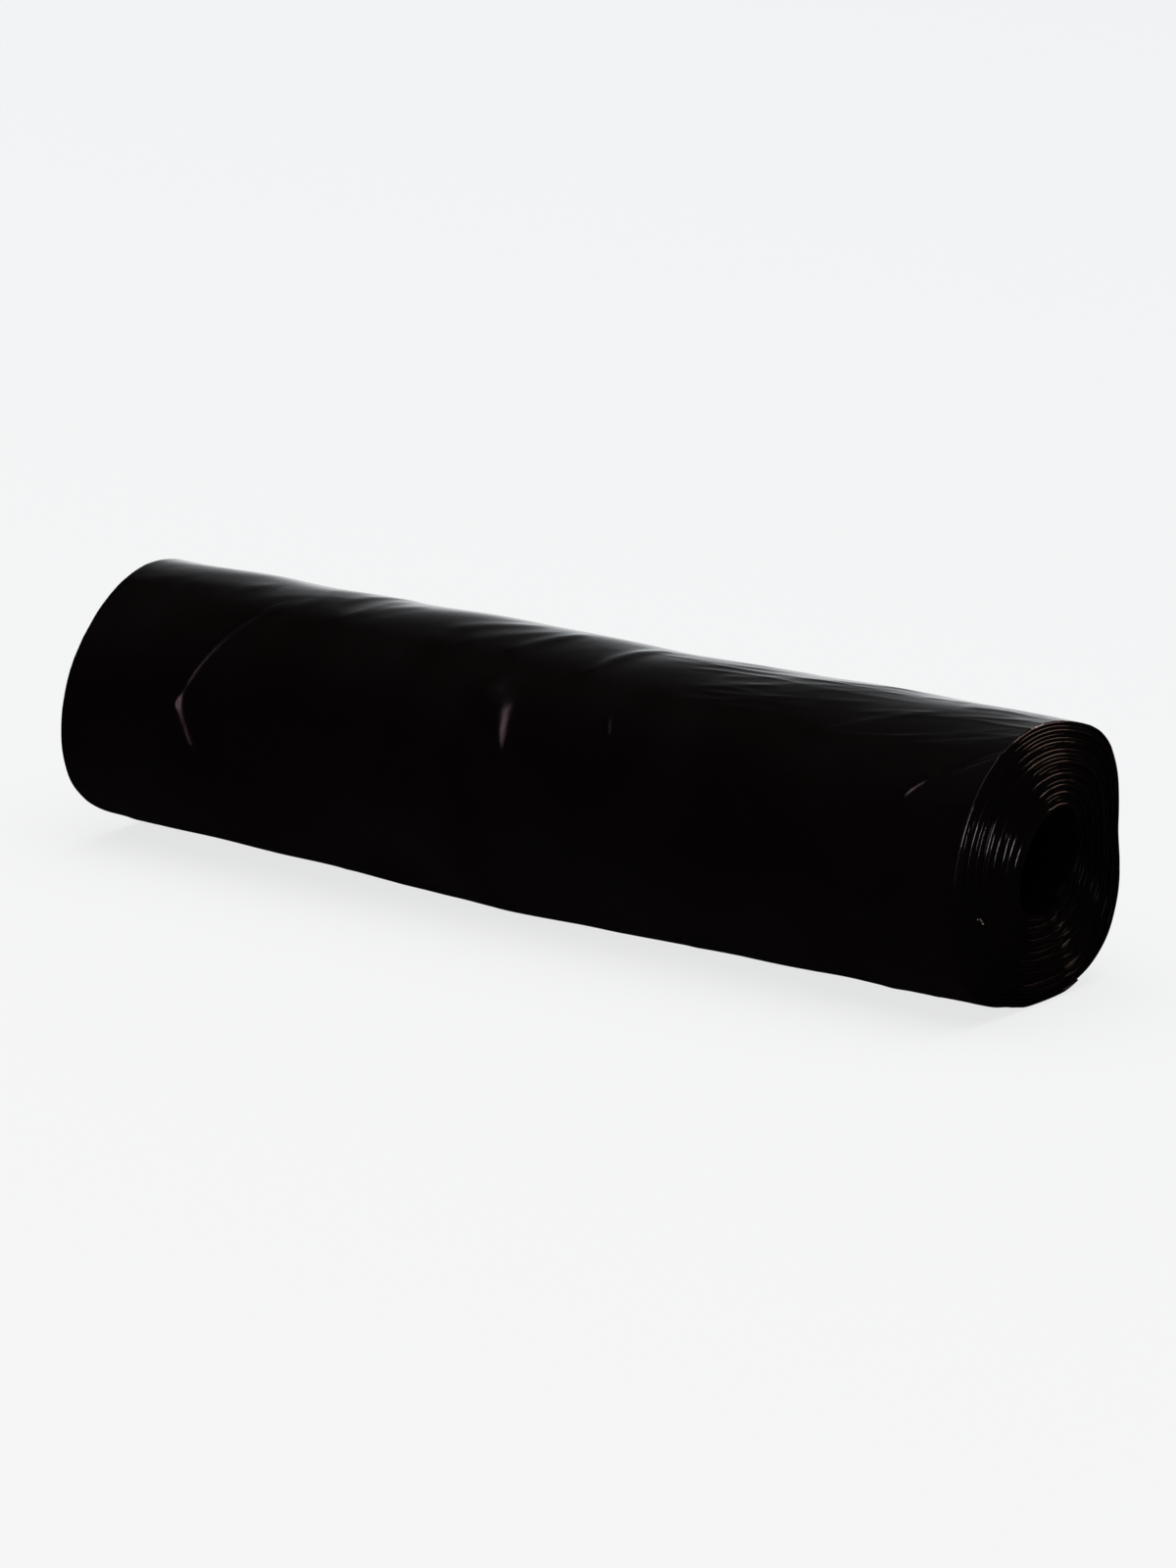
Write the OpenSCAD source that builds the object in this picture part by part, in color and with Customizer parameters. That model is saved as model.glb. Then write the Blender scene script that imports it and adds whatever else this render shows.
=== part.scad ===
// A roll of bin bags: one long folded web of polythene film, wound on a mandrel that was then drawn out.
// The roll lies on its side, along X, on the small flat spot that its own weight presses.
// One spiral makes it all: it starts at the hollow, shows as turns at both ends and stops at the loose tail.

/* [Winding] */
// Length of the roll, which is the width of the folded web
roll_length = 350; // [200:1:480]
// Width of the hollow that the mandrel left, across its long axis
hollow_width = 24; // [16:0.5:34]
// Length of the hollow's long axis, as the hollow has sagged out of round
hollow_height = 34; // [16:0.5:36]
// Angle by which the long axis leans over to the back
hollow_lean = 40; // [0:1:60]
// How far the hollow lies off the middle of the roll, towards the back
hollow_shift = 7; // [0:0.5:8]
// Thickness of one turn of the folded web
turn_thickness = 1.3; // [0.8:0.05:1.8]
// Number of turns
turn_count = 22; // [12:1:30]
// Angle round the roll at which the loose tail ends, from the back towards the top
tail_angle = -63; // [-63:1:180]
// Thickness of the web at its loose end, where it is pressed thin
tail_thickness = 0.5; // [0.3:0.05:0.8]

/* [Ends] */
// Depth of the gap between one turn and the next at the ends of the roll
gap_depth = 1.8; // [0.5:0.1:6]
// How far single turns stand in or out of the ends
turn_stagger = 0.3; // [0:0.1:2]
// How far the innermost turns are drawn in at the ends
inner_recess = 1.6; // [0:0.1:4]

/* [Slack] */
// Width of the flat spot that the roll lies on
flat_width = 28; // [14:1:36]
// How far the film bulges low at the front of the near end
near_bulge = 3.6; // [0:0.1:5]
// How far the back of the near end is pressed in
near_press = 3; // [0:0.1:5]
// How far the film stands out in a soft corner above that press
near_shoulder = 3.4; // [0:0.1:4]
// How far it stands out in another below the press
near_corner = 2.4; // [0:0.1:4]
// How far the near end is drawn up off the ground, low at its front
near_lift = 1.4; // [0:0.1:3]
// How far the film has gone slack high at the front of the far end
far_slack = 4.8; // [0:0.1:6]
// How far it stands out in a soft corner below that
far_corner = 1.4; // [0:0.1:4]
// How far the far end is drawn up off the ground
far_lift = 3.2; // [0:0.1:5]
// How far the film sags low at the front, half way along
middle_sag = 1.5; // [0:0.1:4]
// Length over which the ends go out of round
slack_reach = 75; // [30:1:120]
// Height of the long soft waves in the outermost turn
film_wave = 0.55; // [0:0.05:1.2]
// Length of one such wave along the roll
wave_length = 128; // [80:1:240]

/* [Hidden] */

// Points in one turn, and stretches along the outermost turn and along the hollow
turn_steps = 40;
skin_rows = 34;
hollow_rows = 4;
half_length = roll_length / 2;
// The roll's radius: the hollow and the wound turns, the last one's tail included
hollow_radius = (hollow_width + hollow_height) / 4;
roll_radius = hollow_radius + turn_thickness * (turn_count + 1);
// Angle of the ground below the roll
down = -90;
// Share of a turn over which the web thins towards its loose end, and turns over which the ends are drawn in
thinning_reach = 0.05;
recessed_turns = 5;

// Places where the roll is out of round: 1 near, 0 middle or -1 far, angle, reach round the roll, height
soft_places = [
    [1, -139, 16, near_bulge],
    [1, 2, 18, -near_press],
    [1, 43, 20, near_shoulder],
    [1, -44, 22, near_corner],
    [1, -107, 12, -near_lift],
    [-1, 131, 38, -far_slack],
    [-1, -155, 20, far_corner],
    [-1, -106, 24, -far_lift],
    [0, -120, 26, middle_sag],
];

// Difference between two angles, from -180 to 180
function turn_from(a, b) = (a - b + 540) % 360 - 180;

// A smooth rise from 0 to 1 and back as d passes 0, with the given reach
function swell(d, reach) = exp(-pow(d / reach, 2));

// Extra radius of the outermost turn at angle a, x along the roll
function slack(a, x) =
    let (places = [
        for (s = soft_places)
            s[3] * swell(turn_from(a + 720, s[1]), s[2]) * swell(x - s[0] * half_length, slack_reach)
    ])
    let (along = 360 * x / wave_length)
    let (waves = [sin(along + 2 * a), sin(0.6 * along - 3 * a + 50), sin(2.6 * along + 5 * a)])
    places * [for (s = soft_places) 1] + film_wave * waves * [0.6, 0.4, 0.3];

// Section of the roll: the hollow's edge, the outermost turn, and the turns blended between them.
// The level is counted in turns from the hollow, and at the outside it is turn_count + 1.
long_axis = hollow_height / 2 * [sin(hollow_lean), cos(hollow_lean)];
short_axis = hollow_width / 2 * [cos(hollow_lean), -sin(hollow_lean)];
function hollow_edge(a) =
    [hollow_shift, 0] + cos(a + hollow_lean) * short_axis + sin(a + hollow_lean) * long_axis;
function skin_edge(a, x) = (roll_radius + slack(a, x)) * [cos(a), sin(a)];
function section(level, a, x) =
    let (out = level / (turn_count + 1))
    (1 - out) * hollow_edge(a) + out * skin_edge(a, x);

// Level of a wound place, also counted in turns from the hollow: the same, but lower where the web thins
tail_thinning = max(0, 1 - tail_thickness / turn_thickness);
function level_of(wound) =
    let (t = max(0, min(1, 1 + (wound - turn_count - 1) / thinning_reach)))
    wound - tail_thinning * t * t * (3 - 2 * t);

// The outermost turn over the ground, and the height of the roll's middle that gives the flat spot its width.
// On a thin roll the flat spot is kept short of the tail, whose step has to stay off the ground.
wound_below = turn_count + ((down - tail_angle + 720) % 360) / 360;
radius_below = -section(level_of(wound_below), down, 0)[1];
flat_half = min(flat_width / 2, 0.4 * radius_below);
middle_height = sqrt(pow(radius_below, 2) - pow(flat_half, 2));
// The turns under the hollow, pressed flat too, keep this much thickness each
pressed_thickness = (middle_height - norm([long_axis[1], short_axis[1]])) / (turn_count + 1);

// A point of the winding. Each turn stays above the ground and above the turns that lie beneath it.
function wound_point(wound, x) =
    let (a = tail_angle + 360 * wound)
    let (p = section(level_of(wound), a, x))
    let (beneath = max(0, turn_count - floor(wound + 0.0001)))
    [x, p[0], max(p[1] + middle_height, beneath * pressed_thickness)];

// Crest of a turn's edge, half way between its inner face and its outer one
function crest_point(wound, x) =
    let (a = tail_angle + 360 * wound)
    let (p = section((level_of(wound) + level_of(wound + 1)) / 2, a, x))
    let (beneath = max(0, turn_count - floor(wound + 0.0001) - 0.5))
    [x, p[0], max(p[1] + middle_height, beneath * pressed_thickness)];

// How far a turn's edge stands out of the end, wandering slowly along the spiral
function stagger(wound) =
    let (t = turn_count + 1 - wound)
    turn_stagger * (0.6 * cos(37 * t - 56) - 0.4 * cos(59 * t - 88));

// The gap is shallow where it meets the hollow's wall and the outermost turn, whose edges stand up
function gap_share(wound) =
    wound < 1 ? 0.25 : wound < turn_count ? 1 : max(0.08, 1 - turn_steps * (wound - turn_count));

// Half the length of the roll at a turn, without its gap or stagger
function half_at(wound) = half_length - inner_recess * swell(wound, recessed_turns);

// Points of one end: the gaps between turns, then the crests of the turns; side is 1 near and -1 far
function gap_x(wound, side) = side * (half_at(wound) - gap_depth * gap_share(wound) + 0.3 * stagger(wound));
function crest_x(wound, side) = side * (half_at(wound) + stagger(wound + (side > 0 ? 0 : 5.3)));

gap_points = turn_steps * (turn_count + 1) + 1;
crest_points = turn_steps * turn_count + 1;
end_points = gap_points + crest_points;

function end_face_points(side) = concat(
    [for (i = [0:gap_points - 1]) let (w = i / turn_steps) wound_point(w, gap_x(w, side))],
    [for (i = [0:crest_points - 1]) let (w = i / turn_steps) crest_point(w, crest_x(w, side))]
);

// Points between the ends, in rows across one turn that starts at the given place in the winding
function row_points(start, rows) = [
    for (j = [1:rows - 1], i = [0:turn_steps])
        let (w = start + i / turn_steps)
        wound_point(w, (1 - j / rows) * gap_x(w, 1) + j / rows * gap_x(w, -1))
];

roll_points = concat(
    end_face_points(1),
    end_face_points(-1),
    row_points(turn_count, skin_rows),
    row_points(0, hollow_rows)
);

// Numbers of the points: i counts steps along the spiral, j counts rows from the near end to the far one
function gap_at(end, i) = end * end_points + i;
function crest_at(end, i) = end * end_points + gap_points + i;
function skin_at(j, i) =
    j == 0 ? gap_at(0, turn_count * turn_steps + i)
    : j == skin_rows ? gap_at(1, turn_count * turn_steps + i)
    : 2 * end_points + (j - 1) * (turn_steps + 1) + i;
function hollow_at(j, i) =
    j == 0 ? gap_at(0, i)
    : j == hollow_rows ? gap_at(1, i)
    : 2 * end_points + (skin_rows - 1) * (turn_steps + 1) + (j - 1) * (turn_steps + 1) + i;

// Two triangles on four corners, turned over when flip is true
function patch(a, b, c, d, flip) = flip ? [[a, c, b], [a, d, c]] : [[a, b, c], [a, c, d]];
function corner(a, b, c, flip) = [flip ? [a, c, b] : [a, b, c]];

// The turns at one end, each a ridge with an inner and an outer flank
function end_faces(end) = [
    for (i = [0:crest_points - 2])
        each concat(
            patch(gap_at(end, i), gap_at(end, i + 1), crest_at(end, i + 1), crest_at(end, i), end == 1),
            patch(crest_at(end, i), crest_at(end, i + 1),
                gap_at(end, i + 1 + turn_steps), gap_at(end, i + turn_steps), end == 1)
        )
];

// The outermost turn and the step at its tail, then the hollow's wall and the step at the web's inner end
skin_faces = [
    for (j = [0:skin_rows - 1], i = [0:turn_steps - 1])
        each patch(skin_at(j, i), skin_at(j, i + 1), skin_at(j + 1, i + 1), skin_at(j + 1, i), false)
];
tail_faces = [
    for (j = [0:skin_rows - 1])
        each patch(skin_at(j, turn_steps), skin_at(j, 0), skin_at(j + 1, 0),
            skin_at(j + 1, turn_steps), false)
];
hollow_faces = [
    for (j = [0:hollow_rows - 1], i = [0:turn_steps - 1])
        each patch(hollow_at(j, i), hollow_at(j, i + 1), hollow_at(j + 1, i + 1), hollow_at(j + 1, i), true)
];
head_faces = [
    for (j = [0:hollow_rows - 1])
        each patch(hollow_at(j, turn_steps), hollow_at(j, 0), hollow_at(j + 1, 0),
            hollow_at(j + 1, turn_steps), true)
];
// Ends of the spiral ridge, at the web's inner end and at the tail
last = turn_count * turn_steps;
ridge_ends = [
    for (end = [0, 1])
        each concat(
            corner(gap_at(end, 0), crest_at(end, 0), gap_at(end, turn_steps), end == 1),
            corner(gap_at(end, last), gap_at(end, last + turn_steps), crest_at(end, last), end == 1)
        )
];

module bag_roll() {
    color("#0b0a0a")
        polyhedron(
            points = roll_points,
            faces = concat(
                end_faces(0), end_faces(1), skin_faces, tail_faces, hollow_faces, head_faces, ridge_ends
            ),
            convexity = 8
        );
}

bag_roll();
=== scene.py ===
# %% [markdown]
# # A roll of bin bags in black polythene film
#
# The real thing is one very long web of thin film: bags made flat, folded lengthways, wound on a
# mandrel and pushed off it. Nothing holds it but its own tension. So there are only three things to
# look at: the outermost turn with its wrinkles, the edges of the turns at both ends, and the hollow.
#
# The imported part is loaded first. It fixes where the roll is and how big it is, in metres, with +X
# along the roll, +Y to its back and +Z up. Everything made here has to stay in its box.

import bpy
import numpy as np
from mathutils import Matrix, Vector


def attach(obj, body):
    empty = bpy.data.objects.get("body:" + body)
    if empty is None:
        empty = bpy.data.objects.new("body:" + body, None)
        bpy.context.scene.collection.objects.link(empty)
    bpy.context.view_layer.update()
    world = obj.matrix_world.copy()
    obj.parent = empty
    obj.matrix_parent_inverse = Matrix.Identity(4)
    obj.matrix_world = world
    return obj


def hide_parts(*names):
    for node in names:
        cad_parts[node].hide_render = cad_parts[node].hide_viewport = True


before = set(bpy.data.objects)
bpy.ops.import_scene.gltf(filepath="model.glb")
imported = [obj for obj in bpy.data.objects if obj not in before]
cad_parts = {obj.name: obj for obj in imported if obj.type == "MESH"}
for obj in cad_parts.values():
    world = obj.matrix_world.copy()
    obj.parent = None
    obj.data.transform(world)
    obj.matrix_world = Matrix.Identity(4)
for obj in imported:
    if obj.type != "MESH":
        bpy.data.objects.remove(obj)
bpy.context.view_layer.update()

# %% [markdown]
# ## The winding
#
# A wound roll is a spiral, so one number can say where we are in it: how many turns have been wound
# since the hollow. Angle and distance from the middle both follow from that number. The sizes below are
# the part's own, in millimetres, and so are the two outlines that every turn is blended between: the
# hollow, which has sagged into a leaning oval, and the outermost turn, which is slack in places.

# %% Sizes of the winding, in millimetres
MM = 0.001
HALF_LENGTH = 350.0 / 2
HOLLOW_WIDTH, HOLLOW_HEIGHT = 24.0, 34.0
HOLLOW_LEAN, HOLLOW_SHIFT = 40.0, 7.0
TURN_THICKNESS = 1.3
TAIL_THICKNESS, THINNING_REACH = 0.5, 0.05
TURN_COUNT = 22
ALL_TURNS = TURN_COUNT + 1
TAIL_ANGLE = -63.0
FLAT_WIDTH = 28.0
GAP_DEPTH = 1.8
TURN_STAGGER, FINE_STAGGER = 0.3, 0.24
INNER_RECESS, RECESSED_TURNS = 1.6, 5.0
SLACK_REACH = 75.0
DOWN = -90.0
# How softly a turn bends where it leaves the flat spot
FLAT_SOFTNESS = 1.4
roll_radius = (HOLLOW_WIDTH + HOLLOW_HEIGHT) / 4 + TURN_THICKNESS * ALL_TURNS

# Long waves in the outermost turn, as share of the height, pace along the roll, waves round it, and lag
FILM_WAVE, WAVE_LENGTH = 0.55, 128.0
LONG_WAVES = [(0.6, 1.0, 2, 0), (0.4, 0.6, -3, 50), (0.3, 2.6, 5, 0)]

# Places where the roll is out of round: 1 near, 0 middle or -1 far, angle, reach round the roll, height
SOFT_PLACES = [
    (1, -139, 16, 3.6),
    (1, 2, 18, -3.0),
    (1, 43, 20, 3.4),
    (1, -44, 22, 2.4),
    (1, -107, 12, -1.4),
    (-1, 131, 38, -4.8),
    (-1, -155, 20, 1.4),
    (-1, -106, 24, -3.2),
    (0, -120, 26, 1.5),
]


def sin_deg(angle):
    """Sine of an angle in degrees."""
    return np.sin(np.radians(angle))


def cos_deg(angle):
    """Cosine of an angle in degrees."""
    return np.cos(np.radians(angle))


def turn_from(a, b):
    """Angle from b to a by the shorter way, in degrees, from -180 to 180."""
    return (a - b + 540) % 360 - 180


def swell(distance, reach):
    """A bell curve: 1 where the distance is 0, fading smoothly to 0 past the reach."""
    return np.exp(-(distance / reach) ** 2)


def slack(angle, x):
    """Extra radius of the outermost turn: three long waves, and a bell curve at each soft place."""
    along = 360 * x / WAVE_LENGTH
    extra = FILM_WAVE * sum(
        share * sin_deg(pace * along + waves * angle + lag) for share, pace, waves, lag in LONG_WAVES
    )
    for end, place, reach, height in SOFT_PLACES:
        round_share = swell(turn_from(angle, place), reach)
        extra = extra + height * round_share * swell(x - end * HALF_LENGTH, SLACK_REACH)
    return extra


def level_of(turns):
    """Level of a place in the winding: its turns from the hollow, less where the web's loose end thins."""
    share = np.clip(1 + (turns - ALL_TURNS) / THINNING_REACH, 0, 1)
    return turns - (1 - TAIL_THICKNESS / TURN_THICKNESS) * share ** 2 * (3 - 2 * share)


def across_turn(turns, place):
    """Level at a place across a turn, from 0 at its inner face to 1 at its outer one."""
    inner = level_of(turns)
    return inner + place * (level_of(turns + 1) - inner)


def section(level, angle, x, relief=0.0):
    """Place of the film across the roll, from its middle, in mm. The hollow's oval and the outermost turn's
    outline are mixed in the proportion of level to all turns, and relief moves the film outwards."""
    out = level / ALL_TURNS
    radius = out * (roll_radius + slack(angle, x)) + relief
    short = (1 - out) * HOLLOW_WIDTH / 2 * cos_deg(angle + HOLLOW_LEAN)
    long = (1 - out) * HOLLOW_HEIGHT / 2 * sin_deg(angle + HOLLOW_LEAN)
    lean_y, lean_z = sin_deg(HOLLOW_LEAN), cos_deg(HOLLOW_LEAN)
    y = (1 - out) * HOLLOW_SHIFT + short * lean_z + long * lean_y + radius * cos_deg(angle)
    z = long * lean_z - short * lean_y + radius * sin_deg(angle)
    return y, z


# As in the part: the outermost turn over the ground, the height of the roll's middle that gives the flat
# spot its width, and the thickness that each pressed turn under the hollow keeps
share_below = (DOWN - TAIL_ANGLE) % 360 / 360
radius_below = -section(level_of(TURN_COUNT + share_below), DOWN, 0.0)[1]
middle_height = np.sqrt(radius_below ** 2 - (FLAT_WIDTH / 2) ** 2)
hollow_reach = np.hypot(HOLLOW_HEIGHT / 2 * cos_deg(HOLLOW_LEAN), HOLLOW_WIDTH / 2 * sin_deg(HOLLOW_LEAN))
pressed_thickness = (middle_height - hollow_reach) / ALL_TURNS


def film_points(level, turns, place, x, relief=0.0):
    """Points of film in metres, for arrays that broadcast together: turns is the place along the web and
    place the one across it. A turn that reaches the ground lies flat, on as many pressed turns as there
    are beneath it, and leaves it in a soft bend: the height is the greater of the two, taken softly as
    (a + b + sqrt((a - b)^2 + softness^2)) / 2."""
    y, z = section(level, TAIL_ANGLE + 360 * turns, x, relief)
    beneath = TURN_COUNT - np.round(turns - share_below) - place
    unpressed = z + middle_height
    pressed = np.maximum(beneath, 0) * pressed_thickness
    z = (unpressed + pressed + np.hypot(unpressed - pressed, FLAT_SOFTNESS)) / 2
    return MM * np.stack(np.broadcast_arrays(x, y, z), axis=-1)


print("radius", round(roll_radius, 2), "mm, middle", round(float(middle_height), 2), "mm above the ground")

# %% [markdown]
# ## From arrays to a mesh
#
# Every surface here is a grid: rows one way, columns the other. The faces of a grid are always the
# same four neighbours, so one small function can write them all down at once as an array. A piece is
# then a stack of such arrays of points and faces, handed to Blender without touching a vertex by hand.

# %% Helpers that turn grids into a piece


def grid_faces(numbers, flip=False):
    """Four-cornered faces of a grid of point numbers. Flip turns them to face the other way."""
    a, b = numbers[:-1, :-1], numbers[:-1, 1:]
    c, d = numbers[1:, 1:], numbers[1:, :-1]
    corners = (a, d, c, b) if flip else (a, b, c, d)
    return np.stack([corner.ravel() for corner in corners], axis=1)


def make_piece(name, points, grids, caps, material, sharp_angle=60.0):
    """A closed mesh object from points, arrays of four-cornered faces, and caps with many corners.
    It is shaded smooth, apart from edges sharper than the angle."""
    faces = np.concatenate(grids).tolist() + [cap.tolist() for cap in caps]
    mesh = bpy.data.meshes.new(name)
    mesh.from_pydata(points.reshape(-1, 3).tolist(), [], faces)
    mesh.update()
    mesh.shade_smooth()
    mesh.set_sharp_from_angle(angle=np.radians(sharp_angle))
    mesh.materials.append(material)
    piece = bpy.data.objects.new(name, mesh)
    bpy.context.scene.collection.objects.link(piece)
    triangles = sum(len(face) - 2 for face in faces)
    print(name, "has", len(mesh.vertices), "points and", triangles, "triangles")
    return piece


FINE_STEPS = 4000


def close_spacing(start, stop, count, crowding):
    """Places from start to stop, closer together where the function crowding is higher."""
    fine = np.linspace(start, stop, FINE_STEPS + 1)
    filled = np.concatenate([[0.0], np.cumsum(crowding((fine[1:] + fine[:-1]) / 2))])
    return np.interp(np.linspace(0, filled[-1], count), filled, fine)


# %% [markdown]
# ## Black polythene film
#
# Bin bags are blown low-density polythene: carbon black is mixed through it, so no light comes back
# from inside, and all that the eye gets is the mirror-like top surface. That is why a black roll is
# drawn almost wholly by its highlights. The index of refraction of polythene is 1.51. Blown film is
# glossy but never quite flat: it has fine lines from the die, along the web, and a faint unevenness like
# orange peel. Both are far smaller than the wrinkles, so they go into bump and roughness, not the mesh.

# %% Film material


def linear(hex_colour):
    """An sRGB hex colour as linear red, green, blue and alpha."""
    srgb = np.array([int(hex_colour[i:i + 2], 16) for i in (1, 3, 5)]) / 255
    rgb = np.where(srgb <= 0.04045, srgb / 12.92, ((srgb + 0.055) / 1.055) ** 2.4)
    return (*rgb.tolist(), 1.0)


def add_node(tree, kind, inputs=None, **settings):
    """Adds a node with its settings. An input is a value, or an output socket to link from."""
    node = tree.nodes.new(kind)
    for key, value in settings.items():
        setattr(node, key, value)
    for key, value in (inputs or {}).items():
        if isinstance(value, bpy.types.NodeSocket):
            tree.links.new(value, node.inputs[key])
        else:
            node.inputs[key].default_value = value
    return node


def calculate(tree, operation, *values):
    """Output of a Math node on up to three values or sockets."""
    return add_node(tree, "ShaderNodeMath", dict(enumerate(values)), operation=operation).outputs[0]


def soft_step(tree, value, start, stop):
    """Output that goes smoothly from 0 at start to 1 at stop, in either direction."""
    inputs = {"Value": value, "From Min": start, "From Max": stop}
    return add_node(tree, "ShaderNodeMapRange", inputs, interpolation_type="SMOOTHSTEP").outputs[0]


# Millimetres in a metre, and the sizes in mm of what is too fine for the mesh
PER_METRE = 1000.0
DIE_LINE_SPACING = 1.8
PEEL_SIZE = 6.0
# Roughness where the film is clean, and where it is rubbed dull
CLEAN, RUBBED = 0.11, 0.18


def polythene_film(name):
    """Glossy black blown film: die lines round the roll, orange peel, and patches rubbed duller."""
    material = bpy.data.materials.new(name)
    material.use_nodes = True
    tree = material.node_tree
    tree.nodes.clear()
    place = add_node(tree, "ShaderNodeTexCoord").outputs["Object"]
    # The web runs round the roll, so its die lines are close together along X and long round it
    across_web = add_node(tree, "ShaderNodeMapping", {
        "Vector": place, "Scale": (PER_METRE / DIE_LINE_SPACING, 20, 20)}).outputs[0]
    die_lines = add_node(tree, "ShaderNodeTexNoise", {"Vector": across_web, "Scale": 1.0, "Detail": 2.0})
    peel = add_node(tree, "ShaderNodeTexNoise", {
        "Vector": place, "Scale": PER_METRE / PEEL_SIZE, "Detail": 3.0})
    rubbed = add_node(tree, "ShaderNodeTexNoise", {"Vector": place, "Scale": 28.0, "Detail": 4.0})
    roughness = add_node(tree, "ShaderNodeMapRange", {
        "Value": rubbed.outputs["Fac"], "From Min": 0.35, "From Max": 0.7,
        "To Min": CLEAN, "To Max": RUBBED})
    lines_bump = add_node(tree, "ShaderNodeBump", {
        "Height": die_lines.outputs["Fac"], "Strength": 0.08, "Distance": 0.0002})
    peel_bump = add_node(tree, "ShaderNodeBump", {
        "Height": peel.outputs["Fac"], "Strength": 0.08, "Distance": 0.001,
        "Normal": lines_bump.outputs[0]})
    shader = add_node(tree, "ShaderNodeBsdfPrincipled", {
        "Base Color": linear("#070404"), "Roughness": roughness.outputs[0], "IOR": 1.5,
        "Normal": peel_bump.outputs[0]})
    add_node(tree, "ShaderNodeOutputMaterial", {"Surface": shader.outputs[0]})
    print("material", name, "with", len(tree.nodes), "nodes")
    return material


black_film = polythene_film("black_polythene_film")

# %% [markdown]
# ## The turns' edges
#
# Seen from the end, the roll is a spiral of film edges. A folded web has no sharp edge: its folds make
# a narrow round lip, and where one turn lies against the next there is a dark slit. Each turn stands in
# or out of the end by a hair, because the web wanders as it is wound, and some lips are rounder than
# others. Both change from each turn to the next, which is what lets the eye tell the turns apart.
#
# The surface is the profile of one lip carried along the spiral. The spiral closes on itself one turn
# further out, so the profile's last line is the first line of the next turn, and the faces share it.

# %% Profile of a lip, and how it wanders
STEPS = 200
# Turns of the inner piece: all but the outermost, which is a piece of its own
CORE_TURNS = TURN_COUNT - 1
# Places across one turn's thickness where a lip has a line of points, from 0 at its inner slit to 1
LIP_PLACES = np.array([0.0, 0.05, 0.16, 0.44, 0.64, 0.77, 0.86, 0.93, 0.98])
# The crest's place, then the rounded corner's depth in mm, the power of its curve and how much it varies
LIP_CREST, LIP_ROUNDING, CORNER_POWER, SOFTNESS_SPREAD = 0.16, 0.6, 3, 0.6
# Degrees of a wave in one turn. The quick beat is 133 more than a whole wave, so neighbours are unlike
QUICK_BEAT, SLOW_BEAT, SLOW_LAG = 493, 217, 40
# The bevel inside the crest: depth in mm, then angle, reach and lag in degrees
INNER_BEVEL, BEVEL_ANGLE, BEVEL_REACH, BEVEL_LAG = 0.28, -58.0, 13.0, 60
# Slow waves of the stagger, as share, degrees in one turn and lag, and the turns in which the quick wave
# fades towards the outside
STAGGER_WAVES = [(0.6, 37, -56), (-0.4, 59, -88)]
FADING_TURNS = 2
# A film edge's fine unevenness: its waves, as degrees in one turn and lag, and its size, in mm out of the
# end and as a share of a turn across it
RIPPLE_WAVES = [(2517, 40), (4211, 77), (7873, 19)]
RIPPLE_OUT, RIPPLE_ACROSS = 0.10, 0.018
OUT_SEED, ACROSS_SEED = 8, 3
# The far end repeats the near end's stagger so many turns later
FAR_END_LAG = 5.3
# One small nick in an edge: height in mm, then place and reach in turns
NICK_HEIGHT, NICK_PLACE, NICK_REACH = 1.5, 14.72, 0.004


def corner_depth(turns):
    """Depth of a lip's rounded corner in mm, which changes from turn to turn, and less along a turn."""
    unlike = sin_deg(QUICK_BEAT * turns) * cos_deg(SLOW_BEAT * turns + SLOW_LAG)
    return LIP_ROUNDING * (1 + SOFTNESS_SPREAD * unlike)


def rounding(place, turns):
    """How far a lip's back lies below its crest, in mm. The crest is beside the inner edge, which is sharp
    but for a slight bevel low at the back, on some turns more than on others. Outwards the back is level,
    then rounds off in a corner, as 1 - (1 - share^3)^(1/3)."""
    inward = np.clip(LIP_CREST - place, 0, 1) / LIP_CREST
    outward = np.clip(place - LIP_CREST, 0, 1) / (1 - LIP_CREST)
    bevel = INNER_BEVEL * swell(turn_from(TAIL_ANGLE + 360 * turns, BEVEL_ANGLE), BEVEL_REACH)
    bevel = bevel * (0.5 + 0.5 * sin_deg(QUICK_BEAT * turns + BEVEL_LAG))
    return bevel * inward + corner_depth(turns) * (1 - (1 - outward ** CORNER_POWER) ** (1 / CORNER_POWER))


def lip_drop(place, turns):
    """As the rounding, with the slit's full depth at the lip's two edges."""
    return np.where((place <= 0) | (place >= 1), GAP_DEPTH, rounding(place, turns))


def stagger(turns):
    """How far a turn's edge stands out of the end: two slow waves over the turns, level at the outermost,
    and a quick one that sets each turn apart from the next and fades at the outermost."""
    inward = ALL_TURNS - turns
    slow = TURN_STAGGER * sum(share * cos_deg(beat * inward + lag) for share, beat, lag in STAGGER_WAVES)
    return slow + FINE_STAGGER * cos_deg(QUICK_BEAT * inward) * np.clip((inward - 1) / FADING_TURNS, 0, 1)


def ripple(turns, seed):
    """Fine unevenness of a film edge along the spiral, from -1 to 1: three unrelated waves."""
    return sum(sin_deg(beat * turns + lag * seed) for beat, lag in RIPPLE_WAVES) / len(RIPPLE_WAVES)


def crest_x(turns, side):
    """Where a turn's edge is along the roll: the roll's half length, less where the innermost turns are
    drawn in, with its stagger, a fine ripple and one small nick that catches the light."""
    drawn_in = INNER_RECESS * swell(turns, RECESSED_TURNS)
    drift = stagger(turns + (0 if side > 0 else FAR_END_LAG))
    nick = NICK_HEIGHT * swell(turns - NICK_PLACE, NICK_REACH)
    fine = RIPPLE_OUT * ripple(turns, OUT_SEED + side) + nick
    return side * (HALF_LENGTH - drawn_in + drift + fine)


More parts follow.
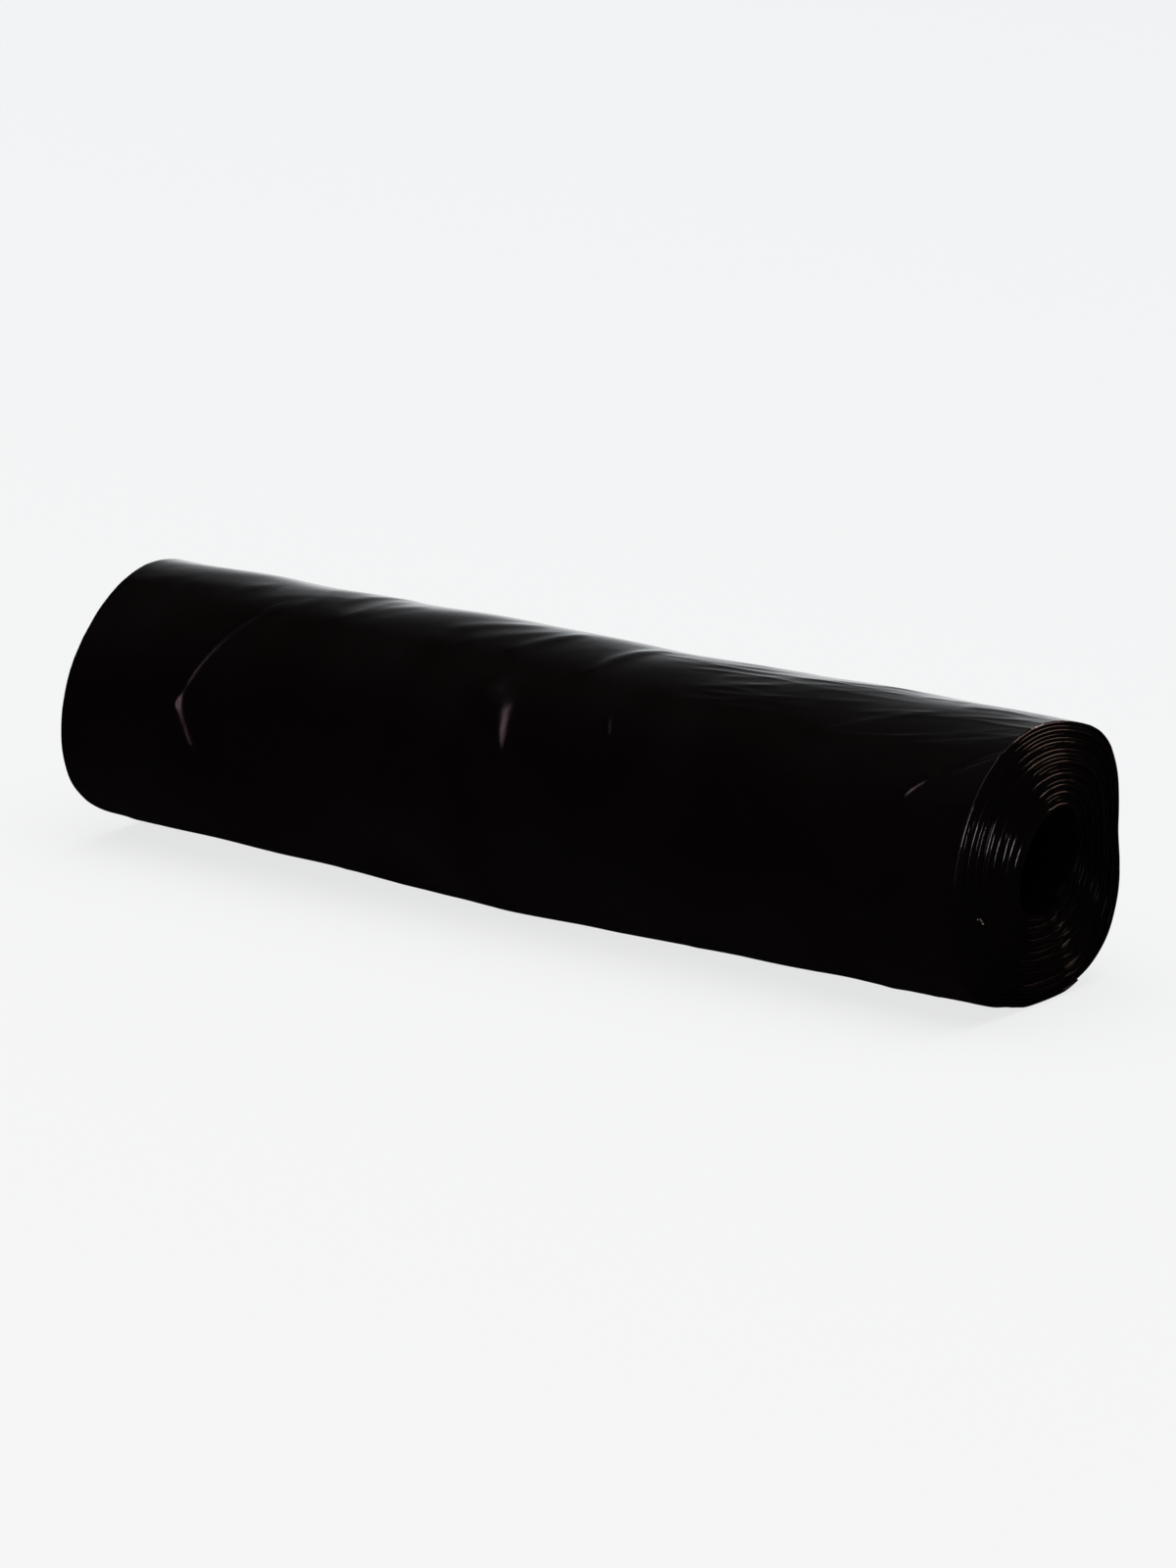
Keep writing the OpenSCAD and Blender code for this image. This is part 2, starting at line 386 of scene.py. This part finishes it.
def lip_points(first, last, side, places):
    """Points of one end, lip place by step along the spiral, from turn first to turn last.
    The step moves a point round the roll, and the lip's place moves it outwards across the turn."""
    steps = np.arange(STEPS * (last - first) + 1)[None, :]
    base = first + steps / STEPS
    place = places[:, None]
    wander = RIPPLE_ACROSS * ripple(base, ACROSS_SEED + side) * (place > 0)
    x = crest_x(base, side) - side * lip_drop(place, base)
    return film_points(across_turn(base, place + wander), base, place, x)


print("a lip's lines lie", lip_drop(LIP_PLACES, 10.0).round(2), "mm below its crest")

# %% [markdown]
# ## The inner turns
#
# One closed solid: both spiral ends, the hollow's wall between them, and a plain outer wall that the
# outermost turn covers. Where the web starts, in the hollow, its end makes a low step.

# %% Wound inner turns
HOLLOW_ROWS, OUTER_WALL_ROWS = 24, 2


def wound_turns(material):
    """The inner turns. Point numbers are laid out as lines[end][place, step], and the wall grids join the
    innermost and the outermost gap line of the two ends."""
    side_points, lines = [], []
    start = 0
    last = STEPS * CORE_TURNS
    for side in (1, -1):
        lips = lip_points(0, CORE_TURNS, side, LIP_PLACES)
        closing = lip_points(CORE_TURNS, TURN_COUNT, side, LIP_PLACES[:1])[:, 1:]
        side_points += [lips.reshape(-1, 3), closing.reshape(-1, 3)]
        numbers = start + np.arange(lips.shape[0] * lips.shape[1]).reshape(lips.shape[:2])
        start = numbers[-1, -1] + 1
        gap_line = np.concatenate([numbers[0], start + np.arange(STEPS)])
        start += STEPS
        lines.append((numbers, gap_line))

    grids, caps = [], []
    for (numbers, gap_line), flip in zip(lines, (False, True)):
        outer_gap = gap_line[STEPS:STEPS + last + 1]
        grids.append(grid_faces(np.vstack([numbers, outer_gap]), not flip))
        head = np.concatenate([numbers[:, 0], gap_line[STEPS:STEPS + 1]])
        tail = np.concatenate([numbers[:, -1], gap_line[-1:]])
        caps += [head if flip else head[::-1], tail[::-1] if flip else tail]

    near_gap, far_gap = lines[0][1], lines[1][1]
    flat = np.concatenate(side_points)
    for inner_end, rows, turned in ((0, HOLLOW_ROWS, False), (last, OUTER_WALL_ROWS, True)):
        near_line = near_gap[inner_end:inner_end + STEPS + 1]
        far_line = far_gap[inner_end:inner_end + STEPS + 1]
        share = np.linspace(0, 1, rows + 1)[1:-1, None]
        base = inner_end / STEPS + np.arange(STEPS + 1)[None, :] / STEPS
        x = (1 - share) * flat[near_line, 0] / MM + share * flat[far_line, 0] / MM
        between = film_points(base, base, 0.0, x)
        numbers = start + np.arange(between.shape[0] * between.shape[1]).reshape(between.shape[:2])
        start += numbers.size
        wall = np.vstack([near_line, numbers, far_line])
        side_points.append(between.reshape(-1, 3))
        grids.append(grid_faces(wall, turned))
        # The web's step, from one end of the turn to the other
        grids.append(grid_faces(wall[:, [-1, 0]], turned))
    return make_piece("wound_turns", np.concatenate(side_points), grids, caps, material)


inner_turns = wound_turns(black_film)

# %% [markdown]
# ## Wrinkles
#
# Film that is wound slack wrinkles in two ways. Where the web creeps along the roll, long fine wrinkles
# run nearly along it, and where it is pinched or pressed there are short sharp creases and dents. Each
# is a bell curve across a line on the unrolled film. The large ones are listed one by one, and the many
# fine ones are drawn with a fixed seed, in the stretch of film that they belong to.

# %% Relief of the outermost turn, in millimetres
SKIN_RADIUS = 44.0
# Length of film in one degree round the roll
ARC = np.pi / 180 * SKIN_RADIUS
# The deepest that the creases go
DEEPEST = -0.95


def crease(x, angle, start, end, widths, height, bow=0.0):
    """Relief of one crease: a bell curve across the line from start to end, fading at both ends of it.
    Start and end are (mm along the roll, degrees round it). The height goes with the width, so that the
    slope stays the same. Bow bends the line sideways, in mm."""
    run_x = end[0] - start[0]
    run_round = ARC * turn_from(end[1], start[1])
    length = np.hypot(run_x, run_round)
    from_x = x - start[0]
    from_round = ARC * turn_from(angle, start[1])
    along = (from_x * run_x + from_round * run_round) / length ** 2
    across = (from_round * run_x - from_x * run_round) / length - bow * (1 - (2 * along - 1) ** 2)
    width = widths[0] + (widths[1] - widths[0]) * np.clip(along, 0, 1)
    fade = np.clip(1 - (2 * along - 1) ** 4, 0, 1)
    return height * width / max(widths) * fade * swell(across, width)


# Start and end as (mm along the roll, degrees round it), width at each, height, bow
PLACED_CREASES = [
    # The long bowed crease at the far end, and the sharp fold that it ends in
    ((-106.5, 103), (-129, 169), (0.9, 2.2), 0.74, 2.8),
    ((-131, 161.5), (-118, 185.5), (3.4, 2.3), 1.28, 0.0),
    # The funnel in mid-length: two slack folds side by side that run together into a point
    ((-13.0, 128), (3.0, 161), (7.5, 0.8), 1.60, 0.0),
    ((-3.5, 134), (3.4, 161), (5.4, 0.8), 1.15, 0.0),
    # A short tick beside it
    ((37.5, 136), (40.5, 145), (1.0, 1.0), 0.42, 0.0),
    # The thin crease near the near end, in two runs
    ((149.0, 147), (158.5, 132.5), (0.9, 0.9), 0.47, -0.8),
    ((152.5, 140), (178, 115), (1.0, 1.0), 0.40, 0.8),
    # Soft folds that cross the top
    ((-42, 106), (-14, 84), (3.5, 3.0), 0.35, 0.0),
    ((-13, 114), (2, 84), (3.2, 2.6), 0.40, 1.5),
    ((21, 122), (33, 82), (3.0, 2.4), 0.50, -2.0),
    ((-110, 120), (-96, 94), (4.0, 3.0), 0.26, 0.0),
    ((-84, 112), (-60, 86), (4.0, 3.5), 0.28, 0.0),
    ((-150, 104), (-118, 92), (4.5, 4.0), 0.26, 0.0),
]

# Stretches of film with creases drawn at random: seed, count, then the ranges of the place in mm along the
# roll, the degrees round it, the length, the slope, the width and the height
CREASED_STRETCHES = [
    # The near top and the far top, where the web has crept
    (11, 60, (55, 178), (72, 126), (18, 60), (3, 26), (0.9, 2.4), (0.06, 0.24)),
    (12, 26, (-175, 55), (70, 122), (20, 50), (15, 65), (2.5, 5.5), (0.08, 0.25)),
    # The rest, all round
    (13, 90, (-175, 175), (125, 430), (20, 80), (-30, 40), (2.0, 6.0), (0.05, 0.3)),
    # Beside the near edge and the far edge
    (14, 50, (150, 178), (0, 360), (8, 26), (-40, 40), (1.2, 2.6), (0.03, 0.16)),
    (15, 50, (-178, -150), (0, 360), (8, 26), (-40, 40), (1.2, 2.6), (0.03, 0.16)),
    # A small crushed place near the thin crease, and the slack film low at the front
    (16, 12, (102, 114), (138, 148), (3, 7), (-80, 80), (0.8, 1.4), (0.05, 0.16)),
    (17, 40, (-175, 175), (225, 275), (12, 40), (-70, 70), (3.0, 7.0), (0.1, 0.5)),
]
# How far a drawn crease bows, as a share of its length, and its last width as a share of its first
BOW_SHARE, TAPER = 0.12, 0.7


def drawn_creases(seed, count, x_range, angle_range, lengths, slopes, widths, heights):
    """Creases drawn at random within the given ranges. A slope is degrees of the crease's line on the
    unrolled film, from along the roll towards falling angles."""
    draws = np.random.default_rng(seed).uniform(size=(count, 7))
    x = x_range[0] + draws[:, 0] * (x_range[1] - x_range[0])
    angle = angle_range[0] + draws[:, 1] * (angle_range[1] - angle_range[0])
    length = lengths[0] + draws[:, 2] * (lengths[1] - lengths[0])
    slope = slopes[0] + draws[:, 3] * (slopes[1] - slopes[0])
    width = widths[0] + draws[:, 4] ** 2 * (widths[1] - widths[0])
    height = heights[0] + draws[:, 5] ** 2 * (heights[1] - heights[0])
    bow = (draws[:, 6] - 0.5) * BOW_SHARE * length
    half_x = length / 2 * cos_deg(slope)
    half_round = -length / 2 * sin_deg(slope) / ARC
    return [
        ((x[i] - half_x[i], angle[i] - half_round[i]), (x[i] + half_x[i], angle[i] + half_round[i]),
         (width[i], TAPER * width[i]), height[i], bow[i])
        for i in range(count)
    ]


def film_relief(x, angle):
    """Sum of all creases, kept from going deeper than the film is thick."""
    relief = np.zeros(np.broadcast(x, angle).shape)
    for start, end, widths, height, bow in creases:
        relief += crease(x, angle, start, end, widths, height, bow)
    return np.maximum(relief, DEEPEST)


creases = PLACED_CREASES + [drawn for stretch in CREASED_STRETCHES for drawn in drawn_creases(*stretch)]
print(len(creases), "creases in the outermost turn")

# %% [markdown]
# ## The outermost turn
#
# A closed strip, one turn long: the wrinkled outside, a lip at each end of the roll, and a plain inside
# a hair above the turns beneath. Rows run across the web and columns along it, and both lie closer
# together where the film is finely wrinkled, so that the points go where they are seen.

# %% Outermost turn
SKIN_ROWS, SKIN_COLUMNS, INSIDE_ROWS = 300, 290, 10
# Air between the turn and those beneath it, as a share of its thickness
AIR_UNDER = 0.1
# Where rows lie closer: the near end, the far crease, the funnel and the tick, as place, reach and how much
CLOSE_ROWS = [(165, 26, 1.6), (-122, 14, 1.2), (0, 12, 1.0), (39, 4, 1.0)]
# Where columns lie closer, the same way: from the top to the front
CLOSE_COLUMNS = (120, 50, 0.8)


def row_crowding(x):
    """How close the rows lie at a place along the roll, against 1 on plain film."""
    crowding = 1
    for place, reach, more in CLOSE_ROWS:
        crowding = crowding + more * swell(x - place, reach)
    return crowding


def column_crowding(angle):
    """How close the columns lie at an angle, against 1 at the back and underneath."""
    place, reach, more = CLOSE_COLUMNS
    return 1 + more * swell(turn_from(angle, place), reach)


def outer_turn(material):
    """The loop of rows goes out over the skin, round the far lip, back inside and round the near lip.
    Each row is one turn of the spiral, from its start at the tail's angle to the tail itself."""
    angle = close_spacing(TAIL_ANGLE, TAIL_ANGLE + 360, SKIN_COLUMNS + 1, column_crowding)[None, :]
    wound = (angle - TAIL_ANGLE) / 360
    edge = {side: crest_x(CORE_TURNS + wound, side) for side in (1, -1)}
    corner = corner_depth(CORE_TURNS + wound)
    rows_x = close_spacing(-HALF_LENGTH, HALF_LENGTH, SKIN_ROWS + 1, row_crowding)[::-1, None]

    def skin_x(x):
        """Stretches a row so that the outside ends at the rounding of the two lips."""
        share = (x + HALF_LENGTH) / (2 * HALF_LENGTH)
        return share * (edge[1] - corner) + (1 - share) * (edge[-1] + corner)

    def row(place, x):
        """Points at a place across the film, from 0 inside to 1 outside. Relief fades inwards."""
        across = AIR_UNDER + (1 - AIR_UNDER) * place
        relief = film_relief(x, angle) * np.clip(2 * place - 1, 0, 1)
        return film_points(across_turn(CORE_TURNS + wound, across), CORE_TURNS + wound, across, x, relief)

    def lip(side, places):
        """Rows round one lip, in the order of the places."""
        place = places[:, None]
        return row(place, edge[side] - side * rounding(place, CORE_TURNS + wound))

    inside_x = np.linspace(HALF_LENGTH, -HALF_LENGTH, INSIDE_ROWS + 1)[::-1][1:-1, None]
    loop = np.concatenate([
        row(np.array([[1.0]]), skin_x(rows_x)),
        lip(-1, LIP_PLACES[::-1]),
        row(np.array([[0.0]]), skin_x(inside_x)),
        lip(1, LIP_PLACES),
    ])
    numbers = np.arange(loop.shape[0] * loop.shape[1]).reshape(loop.shape[:2])
    closed = np.vstack([numbers, numbers[:1]])
    caps = [numbers[::-1, 0], numbers[:, -1]]
    return make_piece("outer_turn", loop, [grid_faces(closed)], caps, material)


skin = outer_turn(black_film)

# %% [markdown]
# ## The studio
#
# The roll lies on a pale table that is lit from within, as product photographs often are: it glows
# evenly, so the roll's shadow on it is soft and light. Above hangs a wide white light, at a level at
# which colours come out as they are written. The black film is drawn by what it mirrors: a low bright
# sweep behind the roll's far end, a hoop of light over it, the table, whose image in the film is painted
# dark in front of the roll, under it and by its near end (painted shade), and four soft lamps for the
# wound end. Two of them light the turns' edges at its top, one lights those at its front, and one behind
# and above draws the bright line along its rim.

# %% Floor, world and lamps
FLOOR_SIZE = 14.0
FLOOR_DROP = 0.0003
GLOW_SHARE = 0.835
# Where the table comes out of its painted shade in what the film mirrors: to the back, and away from the
# near end, along a line that slants
PAINTED_SHADE_BACK_END, PAINTED_SHADE_NEAR_END, PAINTED_SHADE_SLANT = (0.10, 0.24), (0.20, 0.12), 0.5
ROLL_MIDDLE = Vector((0.0, 0.0, 0.0418))


def glowing_table(name):
    """A pale matt surface that glows: most of its brightness is its own, and the rest takes shadows.
    It turns a little cooler with distance. What the film mirrors of it is painted shade, dark in front of
    the roll, under it and by its near end, and bright only behind the roll."""
    material = bpy.data.materials.new(name)
    material.use_nodes = True
    tree = material.node_tree
    tree.nodes.clear()
    place = add_node(tree, "ShaderNodeTexCoord").outputs["Object"]
    across, back, _ = add_node(tree, "ShaderNodeSeparateXYZ", {"Vector": place}).outputs
    distance = add_node(tree, "ShaderNodeMapRange", {"Value": back, "From Min": -0.6, "From Max": 1.8})
    colour = add_node(tree, "ShaderNodeMix", {
        0: distance.outputs[0], 6: linear("#f6f6f6"), 7: linear("#f0f2f4")}, data_type="RGBA")
    matt = add_node(tree, "ShaderNodeBsdfDiffuse", {"Color": colour.outputs[2]})
    glow = add_node(tree, "ShaderNodeEmission", {"Color": colour.outputs[2], "Strength": 1.0})
    both = add_node(tree, "ShaderNodeMixShader", {0: GLOW_SHARE, 1: matt.outputs[0], 2: glow.outputs[0]})
    # Painted shade: the table as the film mirrors it is dark in front of the roll, under it and by its near
    # end
    past_painted_shade = soft_step(tree, back, *PAINTED_SHADE_BACK_END)
    from_near_end = calculate(tree, "MULTIPLY_ADD", back, PAINTED_SHADE_SLANT, across)
    outside_painted_shade = calculate(tree, "MULTIPLY", past_painted_shade, soft_step(tree, from_near_end, *PAINTED_SHADE_NEAR_END))
    mirrored = add_node(tree, "ShaderNodeEmission", {"Strength": outside_painted_shade})
    is_mirrored = add_node(tree, "ShaderNodeLightPath").outputs["Is Glossy Ray"]
    seen = add_node(tree, "ShaderNodeMixShader", {
        0: is_mirrored, 1: both.outputs[0], 2: mirrored.outputs[0]})
    add_node(tree, "ShaderNodeOutputMaterial", {"Surface": seen.outputs[0]})
    return material


def lay_floor():
    """A large square just under the roll."""
    half = FLOOR_SIZE / 2
    corners = [(x * half, y * half, -FLOOR_DROP) for x, y in ((-1, -1), (1, -1), (1, 1), (-1, 1))]
    mesh = bpy.data.meshes.new("floor")
    mesh.from_pydata(corners, [], [(0, 1, 2, 3)])
    mesh.materials.append(glowing_table("glowing_table"))
    floor = bpy.data.objects.new("floor", mesh)
    bpy.context.scene.collection.objects.link(floor)
    return floor


# Places among the mirrored rays are parts of a ray's direction: along the roll, to its back or up
SWEEP_FALL, SWEEP_LEVEL = 4.7, 0.02
SWEEP_SLANT, SWEEP_EDGE, SWEEP_SOFTNESS = 2.0, -0.87, 0.2
SWEEP_NEAR_END = (-0.2, -0.45)
OVERHEAD_POWER = 4.0
HOOP_PLACE, HOOP_WIDTH, HOOP_LEVEL = -0.22, 0.065, 1.9
HOOP_BACK_END, HOOP_LOW_END = (0.55, 0.3), (-0.3, 0.0)


def studio_world():
    """A wide light overhead, as the fourth power of a ray's upward share, and three times as bright at its
    middle as an even sky, so that a level white surface comes out white. Mirrored rays see two others.
    The sweep behind the roll's far end is white up to the horizon, and above it falls as
    exp(-fall * (upward share - level)); its front edge slants. The hoop is a bell curve along the roll: a
    narrow band of light from overhead to the front, which only the steep sides of creases mirror."""
    world = bpy.data.worlds.new("studio")
    bpy.context.scene.world = world
    world.use_nodes = True
    tree = world.node_tree
    tree.nodes.clear()
    ray = add_node(tree, "ShaderNodeTexCoord").outputs["Generated"]
    along, back, up = add_node(tree, "ShaderNodeSeparateXYZ", {"Vector": ray}).outputs

    upward = calculate(tree, "POWER", calculate(tree, "MAXIMUM", up, 0.0), OVERHEAD_POWER)
    overhead_level = calculate(tree, "MULTIPLY", upward, 1 + OVERHEAD_POWER / 2)
    overhead = add_node(tree, "ShaderNodeBackground", {
        "Color": linear("#ffffff"), "Strength": overhead_level}).outputs[0]

    fall = calculate(tree, "MULTIPLY_ADD", up, -SWEEP_FALL, SWEEP_FALL * SWEEP_LEVEL)
    height_level = calculate(tree, "MINIMUM", calculate(tree, "EXPONENT", fall), 1.0)
    slanted = calculate(tree, "MULTIPLY_ADD", along, SWEEP_SLANT, back)
    edge = soft_step(tree, slanted, SWEEP_EDGE - SWEEP_SOFTNESS, SWEEP_EDGE + SWEEP_SOFTNESS)
    corner = calculate(tree, "MULTIPLY", edge, soft_step(tree, along, *SWEEP_NEAR_END))
    sweep_level = calculate(tree, "MULTIPLY", height_level, corner)
    sweep = add_node(tree, "ShaderNodeBackground", {
        "Color": linear("#f6fbff"), "Strength": sweep_level}).outputs[0]

    offset = calculate(tree, "MULTIPLY_ADD", along, 1 / HOOP_WIDTH, -HOOP_PLACE / HOOP_WIDTH)
    offset_squared = calculate(tree, "POWER", offset, 2.0)
    bell = calculate(tree, "EXPONENT", calculate(tree, "MULTIPLY", offset_squared, -1.0))
    before_back, above_low = soft_step(tree, back, *HOOP_BACK_END), soft_step(tree, up, *HOOP_LOW_END)
    in_front = calculate(tree, "MULTIPLY", before_back, above_low)
    hoop_level = calculate(tree, "MULTIPLY", calculate(tree, "MULTIPLY", bell, in_front), HOOP_LEVEL)
    hoop = add_node(tree, "ShaderNodeBackground", {
        "Color": linear("#ffd4ec"), "Strength": hoop_level}).outputs[0]

    mirrored = add_node(tree, "ShaderNodeAddShader", {0: sweep, 1: hoop}).outputs[0]
    is_mirrored = add_node(tree, "ShaderNodeLightPath").outputs["Is Glossy Ray"]
    seen = add_node(tree, "ShaderNodeMixShader", {0: is_mirrored, 1: overhead, 2: mirrored})
    add_node(tree, "ShaderNodeOutputWorld", {"Surface": seen.outputs[0]})


LAMP_DISTANCE = 1.6
# Name, direction from the roll, half the angle in degrees that the lamp fills, radiance and colour
LAMPS = [
    ("lamp_right_behind", (0.57, 0.71, 0.38), 12.5, 2.2, "#ffd2be"),
    ("lamp_right_above", (0.50, 0.45, 0.74), 6.0, 7.0, "#ffe6d0"),
    ("lamp_right_low", (0.951, -0.21, 0.222), 6.0, 20.0, "#f8f2ff"),
    ("lamp_behind_above", (0.01, 0.71, 0.70), 5.0, 22.0, "#fff6f0"),
]


def soft_lamp(name, toward, half_angle, radiance, colour):
    """A round lamp facing the roll from a direction, as wide as the half angle in degrees, seen from it.
    Power is radiance times area times pi."""
    radius = LAMP_DISTANCE * np.tan(np.radians(half_angle))
    light = bpy.data.lights.new(name, "AREA")
    light.shape = "DISK"
    light.size = 2 * radius
    light.energy = radiance * np.pi * np.pi * radius ** 2
    light.color = linear(colour)[:3]
    lamp = bpy.data.objects.new(name, light)
    direction = Vector(toward).normalized()
    lamp.location = ROLL_MIDDLE + LAMP_DISTANCE * direction
    lamp.rotation_euler = direction.to_track_quat("Z", "Y").to_euler()
    bpy.context.scene.collection.objects.link(lamp)
    # The lamps show in the film only, so that the floor has the one soft shadow
    lamp.visible_diffuse = False


floor = lay_floor()
studio_world()
for lamp in LAMPS:
    soft_lamp(*lamp)

# %% [markdown]
# ## Camera
#
# The camera stands to the right of the roll's front, a little above it, and sees the roll from two and a
# third metres. Its small shift puts the roll where it lies in the frame.

# %% Camera
CAMERA_AZIMUTH, CAMERA_HEIGHT_ANGLE = 38.21, 14.61
CAMERA_DISTANCE = 2.318
# Focal length and sensor height in mm, and the shift in picture heights
FOCAL_LENGTH, SENSOR_HEIGHT = 172.26, 36.0
SHIFT_RIGHT, SHIFT_UP = 0.0082, -0.0054


def place_camera():
    """A camera that looks along minus back, where back leads from the roll's middle to the camera."""
    back = Vector((
        sin_deg(CAMERA_AZIMUTH) * cos_deg(CAMERA_HEIGHT_ANGLE),
        -cos_deg(CAMERA_AZIMUTH) * cos_deg(CAMERA_HEIGHT_ANGLE),
        sin_deg(CAMERA_HEIGHT_ANGLE),
    ))
    right = Vector((cos_deg(CAMERA_AZIMUTH), sin_deg(CAMERA_AZIMUTH), 0.0))
    up = back.cross(right)
    lens = bpy.data.cameras.new("camera")
    lens.sensor_fit = "VERTICAL"
    lens.sensor_height = SENSOR_HEIGHT
    lens.lens = FOCAL_LENGTH
    lens.shift_x = SHIFT_RIGHT
    lens.shift_y = SHIFT_UP
    camera = bpy.data.objects.new("camera", lens)
    turned = Matrix((right, up, back)).transposed().to_4x4()
    camera.matrix_world = Matrix.Translation(ROLL_MIDDLE + CAMERA_DISTANCE * back) @ turned
    bpy.context.scene.collection.objects.link(camera)
    bpy.context.scene.camera = camera


place_camera()
bpy.context.scene.view_settings.view_transform = "Standard"

# %% [markdown]
# ## Hand over
#
# Both pieces stand for the imported roll, which is hidden, and go with its one body.

# %% Tie the pieces to the frame
for piece in (inner_turns, skin):
    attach(piece, "root")
    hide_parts("bag_roll")
